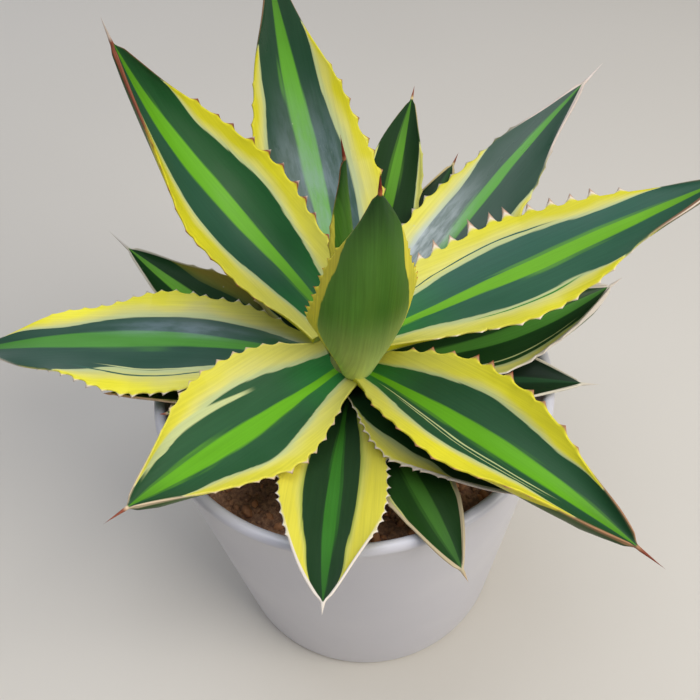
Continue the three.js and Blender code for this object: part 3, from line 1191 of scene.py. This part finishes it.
    def thickness(self, s: np.ndarray) -> np.ndarray:
        """Give the blade's thickness on the midrib at s."""
        root, tip = self.STOUTNESS
        return np.maximum(self.width * (root - (root - tip) * np.minimum(s, 1)), 2 * self.SPINE_RADIUS)

    def gutter(self, s: np.ndarray) -> np.ndarray:
        """Give half the gutter's angle at s, in radians."""
        return np.interp(s, (0, 0.5, 1), (self.kind.root_fold, self.fold, self.fold + self.kind.tip_fold))

    def edge_ripple(self, s: np.ndarray, across: np.ndarray) -> np.ndarray:
        """Give a slow wobble of the outline, unlike on the two margins."""
        turns = s * self.length / self.EDGE_WAVE
        return self.ripple * np.sin(2 * np.pi * turns + 2.1 * np.sign(across) + self.azimuth)

    def face_ripple(self, s: np.ndarray, across: np.ndarray) -> np.ndarray:
        """Give a slow rise and fall of the margins out of the blade's own curve."""
        wave = np.sin(2 * np.pi * s * self.length / self.FACE_WAVE + 1.4 * np.sign(across) + 2 * self.azimuth)
        return self.ripple * 1.3 * wave * across**4 * (1 - smoothstep(0.85, 1.0, s))

    def rows(self, rng: np.random.Generator) -> dict[str, np.ndarray]:
        """Lay out the rows of points from root to tip, close together at each tooth.

        Args:
            rng: Where the random draws come from.

        Returns:
            For the two margins, first the one at across -1: the place along the leaf ("s"), how far
            up a tooth the row is ("tooth"), that tooth's "hook", and the "hump" under the teeth.
        """
        span = Rim.TEETH_TO - Rim.TEETH_FROM
        count = round(span * self.length / self.tooth_spacing)
        fineness = min(1.0, span * self.length / count / Rim.WIDE_SPACING)
        half = Rim.HALF_BASE * fineness / self.length
        slope = np.append((1 - np.abs(Rim.ROWS)) ** Rim.SHARPNESS, 0 * Rim.GAP_HUMPS)
        hump = Rim.HUMP * fineness * np.append(np.cos(Rim.ROWS * 0.9), Rim.GAP_HUMPS)
        margins = []
        for height in self.teeth:
            jitter = rng.uniform(-Rim.JITTER, Rim.JITTER, count)
            centres = Rim.TEETH_FROM + span * (np.arange(count) + 0.5 + jitter) / count
            fading = 1 - Rim.FADING * (np.linspace(0, 1, count) - Rim.TALLEST) ** 2
            sizes = Rim.HEIGHT * height * fading * rng.uniform(*Rim.SIZES, count)
            hooks = rng.uniform(*Rim.HOOKS, count) * Rim.HOOK
            gaps = np.linspace(centres[:-1] + half, centres[1:] - half, 5)[1:-1].T
            s = np.hstack([centres[:, None] + Rim.ROWS * half, np.vstack([gaps, gaps[-1:]])])
            margins.append([s, np.outer(sizes, slope), np.outer(hooks, slope), np.tile(hump, (count, 1))])
        # No gap follows the last tooth.
        toothed = np.array(margins).reshape(2, 4, -1)[:, :, : -len(Rim.GAP_HUMPS)]
        root = np.linspace(0, toothed[:, 0, 0].min(), self.ROOT_ROWS, endpoint=False)
        tip = np.concatenate([
            np.linspace(toothed[:, 0, -1].max(), 0.95, self.BLADE_ROWS)[1:],
            np.linspace(0.955, 1.0, self.TIP_ROWS),
            1 + self.own("spine") / self.length * np.linspace(0, 1, self.SPINE_ROWS)[1:-1],
        ])
        made = {}
        for index, key in enumerate(("s", "tooth", "hook", "hump")):
            share = 1 if key == "s" else 0
            sides = [np.concatenate([root * share, margin[index], tip * share]) for margin in toothed]
            made[key] = np.stack(sides, axis=-1)
        return made

    def points(self, rng: np.random.Generator) -> dict[str, np.ndarray]:
        """Work out every point of the leaf, with the values that its skin reads.

        Args:
            rng: Where the random draws come from.

        Returns:
            Arrays with a row for each row of the leaf and a column for each point of the section:
            "position" and "inset" from the margin in millimetres, "along", "across", "under", "horn"
            and "place".
        """
        column = Section.columns()
        across, rim_tooth = column["across"], column["tooth"]
        share = (across + 1) / 2
        rows = self.rows(rng)
        spread = {key: side[:, :1] * (1 - share) + side[:, 1:] * share for key, side in rows.items()}
        s, tooth = spread["s"], spread["tooth"] * rim_tooth
        # The outline: the blade's own half width, wavy at the margins and narrowed where it furls.
        scallop = spread["hump"] * (1 - smoothstep(*self.HUMPS_OUT, s)) + self.edge_ripple(s, across)
        half = self.half_width(s) * (1 - self.skew * np.sign(across)) + scallop * np.abs(across) ** 8
        plain_fold = self.gutter(s)
        fold = plain_fold + self.furl * smoothstep(*self.FURL_IN, s)
        half = half * (np.sin(plain_fold) / plain_fold) / (np.sin(fold) / fold)
        # The thickness: the rim's, swelling to the midrib's.
        slender = 1 - smoothstep(*self.SLENDER, s)
        rim = Rim.THICKNESS * (Rim.TIP_SHARE + (1 - Rim.TIP_SHARE) * slender)
        keel = np.minimum(self.keel * smoothstep(*self.KEEL_IN, s), self.MOST_KEEL * half)
        swell = rim + (self.thickness(s) + keel - rim) * (1 - across**2)
        depth = 0.5 + (column["depth"] - 0.5) * (1 - Rim.THINNING * tooth / Rim.HEIGHT)
        is_rim = column["out"] > 0
        out = -column["lower"] * swell - np.where(is_rim, depth * rim, 0)
        # The section is bent to an arc, with the rim and the teeth past its ends.
        past = np.sign(across) * (column["out"] * rim + tooth)
        sine, cosine = np.sin(fold * across), np.cos(fold * across)
        sideways = half * sine / fold - out * sine + past * cosine
        raised = half * (1 - cosine) / fold + out * cosine + past * sine + self.face_ripple(s, across)
        sideways, raised = self.rounded_tip(s, sideways, raised)
        along_axis, across_axis, up_axis = self.axes(s)
        position = self.midrib(s) + across_axis * sideways[..., None] + up_axis * raised[..., None]
        position = position + along_axis * (spread["hook"] * rim_tooth)[..., None]
        horn = (self.skin.rim + 0.3 * smoothstep(0.75, 0.95, s) + 0.9 * tooth / Rim.HEIGHT) * rim_tooth
        spine_horn = smoothstep(0.98, 1.0, s) * (0.55 + 0.45 * smoothstep(0.99, 1.02, s))
        return {
            "position": position,
            "inset": (1 - np.abs(across)) * half,
            "along": s,
            "across": across + 0 * s,
            "under": np.where(is_rim, column["depth"], column["lower"]) + 0 * s,
            "horn": np.maximum(np.where(is_rim, horn, 0), spine_horn),
            "place": np.stack([across * half, s * self.length, np.full_like(s, self.azimuth)], axis=-1),
        }

    def rounded_tip(
        self, s: np.ndarray, sideways: np.ndarray, raised: np.ndarray
    ) -> tuple[np.ndarray, np.ndarray]:
        """Turn the flat section into a round one at the tip, and thin it to a point along the spine.

        Args:
            s: The places along the leaf.
            sideways: The points' places across, in millimetres.
            raised: The points' places out of the upper face, in millimetres.

        Returns:
            The new places across and out of the face.
        """
        # The upper face takes one half of the round, and the two rims and the lower face the other.
        lower = np.linspace(0, -np.pi, 2 * len(Section.RIM_OUT) + len(Section.LOWER) + 2)[1:-1]
        ring = np.concatenate([np.linspace(np.pi, 0, len(Section.UPPER)), lower])
        left = 1 - np.clip((s - 1) * self.length / self.own("spine"), 0, 1)
        radius = self.SPINE_RADIUS * left**1.2
        blend = smoothstep(*self.ROUNDING, s)
        round_raised = radius * np.sin(ring) - self.SPINE_RADIUS * left
        return sideways + (radius * np.cos(ring) - sideways) * blend, raised + (round_raised - raised) * blend

    def build(self, seed: int) -> bpy.types.Object:
        """Make the leaf and dress it.

        Args:
            seed: The seed of this leaf's own random draws.

        Returns:
            The leaf, which stands for its node of the frame.
        """
        values = self.points(np.random.default_rng(seed))
        position = values.pop("position")
        tip = 1 + self.own("spine") / self.length
        ends = np.vstack([position[0].mean(axis=0), self.midrib(np.array([tip]))])
        points = np.vstack([position.reshape(-1, 3), ends])
        made = mesh_object(self.name + "_blade", points, tube_faces(*values["along"].shape))
        # The values at the two points that close the root and the tip.
        closing = {
            "along": (0, tip),
            "across": (0, 0),
            "under": (1, 0),
            "horn": (0, 1),
            "inset": (self.DEEP_INSET, 0),
            "place": np.zeros((2, 3)),
        }
        for key, extra in closing.items():
            shape = (-1, 3) if key == "place" else (-1,)
            write_attribute(made, key, np.concatenate([values[key].reshape(shape), extra]))
        made.data.materials.append(self.skin.material(self.name + "_skin"))
        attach(made, BODY)
        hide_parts(self.name)
        return made


PALE, DARK, GREEN = StreakTint.PALE, StreakTint.DARK, StreakTint.GREEN

# The leaves, from the centre outwards. Each has its name, kind, azimuth, swing, rise, length, width,
# fold, roll, height and skin, and then what it doesn't have from its kind.
# Three leaves carry a painted sheen, a pale bluish patch that stands in for the sky's reflection.
LEAVES = [
    Leaf("leaf_spear_front", SPEAR, 286, 0, (62, 83), 89, 32.5, 0.8, -6, 21, LeafSkin(
        underside="#477229", right_underside="#5a8c38", margin="#e6da48", under_left=0.7, under_right=0.86,
        under_base=0.62, veins=0.3, under_root="#dcea98", shine=0.15, horn="#b4633c", horn_tip="#7a2e20",
        rim=0.12, edging=(0.0, 0.0),
    ), neck=0.3, peak=0.38, skew=0.04, spine=5.0, teeth=(0.5, 0.45), tooth_spacing=4.0),
    Leaf("leaf_spear_rear", SPEAR, 70, 0, (88, 91), 69, 18, 1.3, -78, 20, LeafSkin(
        underside="#437024", margin="#c9bf48", under_left=0.92, under_right=0.92, veins=0.3, horn="#a86a4c",
        horn_tip="#7a2e20", edging=(0.0, 0.0),
    ), spine=7.0, teeth=(0.3, 0.3)),
    Leaf("leaf_rear_left", OPEN, 126, 48, (20, 80), 109, 40, 0.75, -14, 28, LeafSkin(
        band="#2b5540", right_band="#1c5228", left_edge=0.62, right_edge=0.67, stripe_width=0.125,
        seam_share=0.6, left_reach=1.02, horn="#8a4e38", horn_tip="#c9b8ac", edging=(0.1, 0.5),
        edging_from=0.62,
        streaks=(StreakLine(PALE, (0.58, 0.62), (0.012, 0.012), (0.12, 0.4)),),
    ), neck=0.5, taper=1.45, spine=7.0, teeth=(1.0, 0.5)),
    Leaf("leaf_right", OPEN, 14, -12, (16, 22), 116, 39, 0.15, 8, 26, LeafSkin(
        band="#31604e", right_band="#326048", stripe="#72b428", left_edge=0.6, right_edge=0.66,
        right_reach=0.78, stripe_width=0.115, stripe_centre=-0.1, horn="#efdfcc", horn_tip="#e0bda4",
        edging=(0.6, 0.15), edging_from=0.66, edging_tint="#8c6a50",
        streaks=(
            StreakLine(DARK, (0.64, 0.68), (0.015, 0.02), (0.1, 0.6)),
            StreakLine(GREEN, (-0.7, -0.74), (0.012, 0.02), (0.25, 0.6)),
        ),
    ), peak=0.44, taper=1.2, skew=0.08, teeth=(0.5, 2.0), furl=0.2, keel=2.2),
    Leaf("leaf_front_left", OPEN, 220, 8, (8, 13), 79, 40, 0.45, -20, 19, LeafSkin(
        band="#2b5736", left_edge=0.68, right_edge=0.6, right_reach=1.02, stripe_width=0.13,
        stripe_centre=0.1, seam_share=0.9, margin="#e3db46", horn="#e0c8a8", horn_tip="#8c4630",
        edging=(0.15, 0.2), edging_from=0.6,
        streaks=(StreakLine(PALE, (-0.42, -0.8), (0.04, 0.15), (0.34, 0.92)),),
    ), neck=0.5, taper=1.3, spine=7.0, teeth=(0.5, 0.8), furl=0.2, keel=3.0, tooth_spacing=5.2),
    Leaf("leaf_front_right", OPEN, 307, 4, (25, -9), 99, 33.5, 0.7, 8, 18, LeafSkin(
        band="#285234", left_edge=0.6, right_edge=0.6, stripe_width=0.14, stripe_centre=-0.08,
        seam_share=0.55, margin="#eee436", horn="#b0805c", horn_tip="#8c4630", edging=(0.2, 0.15),
        edging_from=0.6,
        streaks=(
            StreakLine(PALE, (-0.3, -0.46), (0.014, 0.02), (0.1, 0.8)),
            StreakLine(PALE, (-0.36, -0.56), (0.008, 0.012), (0.2, 0.78)),
        ),
    ), neck=0.35, taper=1.3, spine=7.0, teeth=(0.6, 0.9), furl=0.2, keel=3.4),
    Leaf("leaf_left", OPEN, 167, 10, (10, -10), 126, 41, 0.12, -6, 17, LeafSkin(
        band="#2b5040", left_edge=0.6, right_edge=0.5, stripe_width=0.15, stripe="#4f9238", left_reach=0.8,
        right_reach=0.97, margin="#f4ec3a", gloss=0.34, shine=0.35, horn="#eadccb", horn_tip="#d8b49a",
        edging=(0.2, 0.2), edging_from=0.7, painted_sheen=PaintedSheenPatch(0.38, -0.24, 0.26, (0.1, 0.7)),
        streaks=(
            StreakLine(DARK, (0.68, 0.72), (0.015, 0.02), (0.2, 0.7)),
            StreakLine(PALE, (0.55, 0.58), (0.012, 0.012), (0.2, 0.62)),
        ),
    ), neck=0.2, taper=1.15, skew=-0.12, ripple=0.6, teeth=(0.6, 0.8), tooth_spacing=5.0),
    Leaf("leaf_rear_right", OPEN, 44, -8, (28, 22), 121, 33, 0.15, 6, 15, LeafSkin(
        band="#2b4c3a", left_edge=0.6, right_edge=0.78, stripe_width=0.1, stripe="#57a032", seam_share=1.3,
        left_reach=0.76, right_reach=0.74, gloss=0.32, shine=0.4, horn="#d6c6ba", horn_tip="#dccfc8",
        edging=(0.8, 0.5), edging_from=0.62, painted_sheen=PaintedSheenPatch(0.95, 0.35, 0.5, (-0.1, 0.66), "#c6d0d6"),
    ), peak=0.42, taper=1.2, skew=0.1, ripple=0.25, teeth=(0.4, 0.7)),
    Leaf("leaf_rear", OPEN, 92, 28, (26, 88), 127, 42, 0.2, 0, 12, LeafSkin(
        band="#234a34", left_edge=0.7, right_edge=0.6, stripe="#64ac30", stripe_width=0.135, seam_share=1.2,
        gloss=0.32, shine=0.4, horn="#b98a68", rim=0.12, edging=(0.0, 0.0),
        painted_sheen=PaintedSheenPatch(0.5, 0.0, 0.9, (0.1, 0.78)),
    ), neck=0.5, teeth=(0.6, 0.4)),
    Leaf("leaf_old_rear_right", OLD, 71, 0, (36, 24), 100, 22, 0.3, 0, 8, LeafSkin(
        band="#1b3816", stripe="#5b9426", root="#1f4a1c", margin="#b9b95c", left_edge=0.9, right_edge=0.86,
        stripe_width=0.13, shine=0.1, rim=0.12, edging=(0.0, 0.0),
    ), taper=2.0, teeth=(0.3, 0.3)),
    Leaf("leaf_old_right", OLD, -3, 32, (4, 6), 87, 30, 0.7, 14, 15, LeafSkin(
        band="#204520", stripe="#52903a", root="#16300f", margin="#cfcf6e", left_edge=0.86, right_edge=0.76,
        horn="#e2d8cc", horn_tip="#dccfc4", rim=0.6, edging=(1.1, 1.0), edging_from=0.35, stripe_width=0.13,
        streaks=(StreakLine(PALE, (-0.6, -0.66), (0.02, 0.02), (0.2, 0.8)),),
    ), taper=1.15, teeth=(0.4, 0.4), furl=0.3, keel=3.2),
    # Near its root the yellow margin is left out, so that part is painted dark where shadow falls on it.
    Leaf("leaf_old_front_right", OLD, 306, 0, (12, 8), 68, 34, 0.45, 8, 13, LeafSkin(
        band="#1f4020", stripe="#24481f", root="#1b3a20", margin="#e8de54", left_edge=0.8, right_edge=0.62,
        base_edge=1.1, right_reach=0.86, horn="#e6d8cc", horn_tip="#a08a70", rim=0.45, edging=(0.7, 0.7),
        edging_from=0.3,
    ), teeth=(0.8, 0.4), tooth_spacing=3.4),
    Leaf("leaf_front", OPEN, 259, 6, (12, 8), 79, 30, 0.2, -5, 9, LeafSkin(
        band="#223f24", stripe="#3a7a29", root="#1c4424", seam="#a3ad50", cream="#d3cf62", margin="#e2d84c",
        left_edge=0.5, right_edge=0.56, left_reach=1.04, right_reach=1.04, seam_share=0.5, stripe_width=0.1,
        rim=0.45, horn="#ece2d6", horn_tip="#e6dcd0", edging=(0.4, 0.4),
    ), neck=0.25, peak=0.52, taper=1.85, spine=3.0, teeth=(0.5, 0.55), tooth_spacing=3.2),
    Leaf("leaf_old_rear_right_low", OLD, 58, 0, (28, 20), 82, 23, 0.45, 0, 8, LeafSkin(
        band="#1a361a", stripe="#2c5a1e", root="#1a361a", margin="#b8ae55", left_edge=0.86, right_edge=0.8,
    ), teeth=(0.5, 0.5)),
    Leaf("leaf_old_rear", OLD, 98, 0, (14, 8), 74, 24, 0.45, 0, 9, LeafSkin(
        band="#1a3a1c", stripe="#356a24", margin="#b3aa5e", left_edge=0.84, right_edge=0.84,
    ), teeth=(0.5, 0.5)),
    Leaf("leaf_old_rear_left_low", OLD, 120, 0, (12, 6), 76, 22, 0.45, 0, 7, LeafSkin(
        band="#1a3a1c", stripe="#356a24", margin="#b3aa5e", left_edge=0.84, right_edge=0.84,
    ), teeth=(0.5, 0.5)),
    # Its margin is painted olive: the yellow margin as it looks in shade.
    Leaf("leaf_old_rear_left", OLD, 149, -7, (4, 28), 90, 30, 0.65, 0, 5, LeafSkin(
        band="#1f4420", stripe="#74b83e", root="#12240f", seam="#5c6a2c", cream="#7a7c30", margin="#8a7e30",
        left_edge=0.9, right_edge=0.62, stripe_width=0.13, shine=0.1, horn="#cfc8b4", horn_tip="#d9d0c6",
        rim=0.3,
    ), spine=9.0, teeth=(0.4, 0.4)),
    Leaf("leaf_old_left", OLD, 185, -2, (10, 4), 72, 22, 0.45, 0, 9, LeafSkin(
        band="#28401f", stripe="#3c5f24", margin="#a9a268", left_edge=0.84, right_edge=0.84, rim=0.4,
        horn="#c9a98c", horn_tip="#b98a70",
    ), spine=2.0, teeth=(0.4, 0.4)),
    Leaf("leaf_old_right_low", OLD, 348, 0, (12, 0), 68, 24, 0.45, 8, 7, LeafSkin(
        band="#0d2212", right_band="#142d18", stripe="#1e4426", root="#12240f", margin="#8f9a58",
        left_edge=0.92, right_edge=0.92, stripe_width=0.08, horn="#d8d0be", horn_tip="#dcd2c4", rim=0.5,
        edging=(0.5, 0.5), edging_from=0.3,
    ), teeth=(0.25, 0.25)),
    Leaf("leaf_old_front_right_low", OLD, 290, -4, (17, 0), 73, 20.5, 0.4, 8, 4, LeafSkin(
        band="#22451a", stripe="#467a2c", root="#1c421a", margin="#b9bc7c", left_edge=0.92, right_edge=0.9,
        stripe_width=0.14, horn="#c9b894", horn_tip="#c9b08c", rim=0.55, edging=(0.7, 0.7), edging_from=0.2,
    ), taper=2.2, spine=3.0, teeth=(0.2, 0.2)),
    Leaf("leaf_old_front_left", OLD, 194, 0, (22, 4), 56, 22, 0.35, 0, 4, LeafSkin(
        band="#5f7a3a", stripe="#7a9a4c", margin="#aaa66c", left_edge=0.86, right_edge=0.86, rim=0.4,
        horn="#c9b48c", horn_tip="#b05a40",
    ), taper=2.4, spine=2.0, teeth=(0.4, 0.4)),
]


# ---- The studio ----


@dataclass
class Studio:
    """A pale floor, soft lights and the camera. Places are in metres, as seen from the plant."""

    # The camera looks down on the rosette at this elevation, rolled by this much, from this far away.
    elevation: float = 47.9
    roll: float = -4.95
    distance: float = 0.2516
    aim: Vector = field(default_factory=lambda: Vector((0.0, 0.009, 0.116)))
    # The focal length and the image's width, both in pixels of the 700 x 700 image.
    focal_pixels: float = 750.0
    image_pixels: float = 700.0
    sensor: float = 36.0
    clip_start: float = 0.01
    floor_tints: tuple[str, str] = ("#dcd7ce", "#d4cfc6")
    # How far the floor goes, in millimetres, and how fine its clouds are per metre.
    floor_reach: float = 3000.0
    floor_clouds: float = 3.0
    backdrop: str = "#dfe3ea"
    backdrop_strength: float = 0.15
    # Where each soft light hangs, its side in metres, its power in watts and its tint.
    lamps: ClassVar[dict[str, tuple[Vector, float, float, str]]] = {
        "sky_light": (Vector((-0.1, 0.0, 1.3)), 1.0, 8.5, "#f3f6ff"),
        "key_light": (Vector((0.8, -0.5, 0.9)), 0.8, 11.0, "#fffaf0"),
        "front_light": (Vector((0.1, -1.1, 0.85)), 0.9, 0.6, "#f4f5ff"),
        "rear_light": (Vector((-0.6, 1.1, 0.6)), 0.9, 3.0, "#eef3ff"),
    }

    def camera(self) -> None:
        """Make the camera at the viewing angle and make it the scene's own."""
        lens = bpy.data.cameras.new("camera")
        lens.sensor_width = self.sensor
        lens.lens = self.focal_pixels / self.image_pixels * self.sensor
        lens.clip_start = self.clip_start
        made = bpy.data.objects.new("camera", lens)
        tilt = math.radians(90 - self.elevation)
        turn = Matrix.Rotation(tilt, 4, "X") @ Matrix.Rotation(math.radians(self.roll), 4, "Z")
        back = Vector((0, -math.sin(tilt), math.cos(tilt)))
        made.matrix_world = Matrix.Translation(self.aim + back * self.distance) @ turn
        bpy.context.scene.collection.objects.link(made)
        bpy.context.scene.camera = made

    def floor(self) -> None:
        """Lay a plain pale floor under the pot."""
        corners = np.array([(-1, -1, 0), (1, -1, 0), (1, 1, 0), (-1, 1, 0)]) * self.floor_reach
        made = mesh_object("floor", corners, [(0, 1, 2, 3)])
        graph = Surface("floor_paper")
        clouds = graph.noise(graph.place(), self.floor_clouds)
        pale = graph.mix(clouds, *(colour(tint) for tint in self.floor_tints))
        made.data.materials.append(graph.finished({"Base Color": pale, "Roughness": 0.85}))

    def lights(self) -> None:
        """Light the plant softly from overhead, from the viewer's right and a little from behind."""
        for name, (place, size, power, tint) in self.lamps.items():
            lamp = bpy.data.lights.new(name, "AREA")
            lamp.shape = "SQUARE"
            lamp.size = size
            lamp.energy = power
            lamp.color = colour(tint)[:3]
            made = bpy.data.objects.new(name, lamp)
            made.location = place
            made.rotation_euler = (place - self.aim).to_track_quat("Z", "Y").to_euler()
            bpy.context.scene.collection.objects.link(made)
        world = bpy.data.worlds.new("studio")
        world.use_nodes = True
        backdrop = world.node_tree.nodes["Background"]
        backdrop.inputs["Color"].default_value = colour(self.backdrop)
        backdrop.inputs["Strength"].default_value = self.backdrop_strength
        bpy.context.scene.world = world

    def build(self) -> None:
        """Set up the floor, the lights and the camera, with plain colours in the picture."""
        bpy.context.scene.view_settings.view_transform = "Standard"
        self.camera()
        self.floor()
        self.lights()


# ---- The whole plant ----


def dress_stem() -> bpy.types.Object:
    """Give the frame's own stem its finish, as its shape is right.

    Returns:
        The stem.
    """
    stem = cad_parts["stem"]
    stem.data.materials.clear()
    stem.data.materials.append(StemFinish().material())
    return stem


def main() -> None:
    """Build the plant in its pot, piece by piece, and the studio round it."""
    logging.basicConfig(level=logging.INFO, format="%(name)s: %(message)s")
    Studio().build()
    pot = Pot()
    pieces = [pot.build(), Soil(pot).build(), dress_stem()]
    pieces += [leaf.build(seed) for seed, leaf in enumerate(LEAVES, start=1)]
    for made in pieces:
        LOG.info("%s: %d faces", made.name, len(made.data.polygons))


if __name__ == "__main__":
    main()
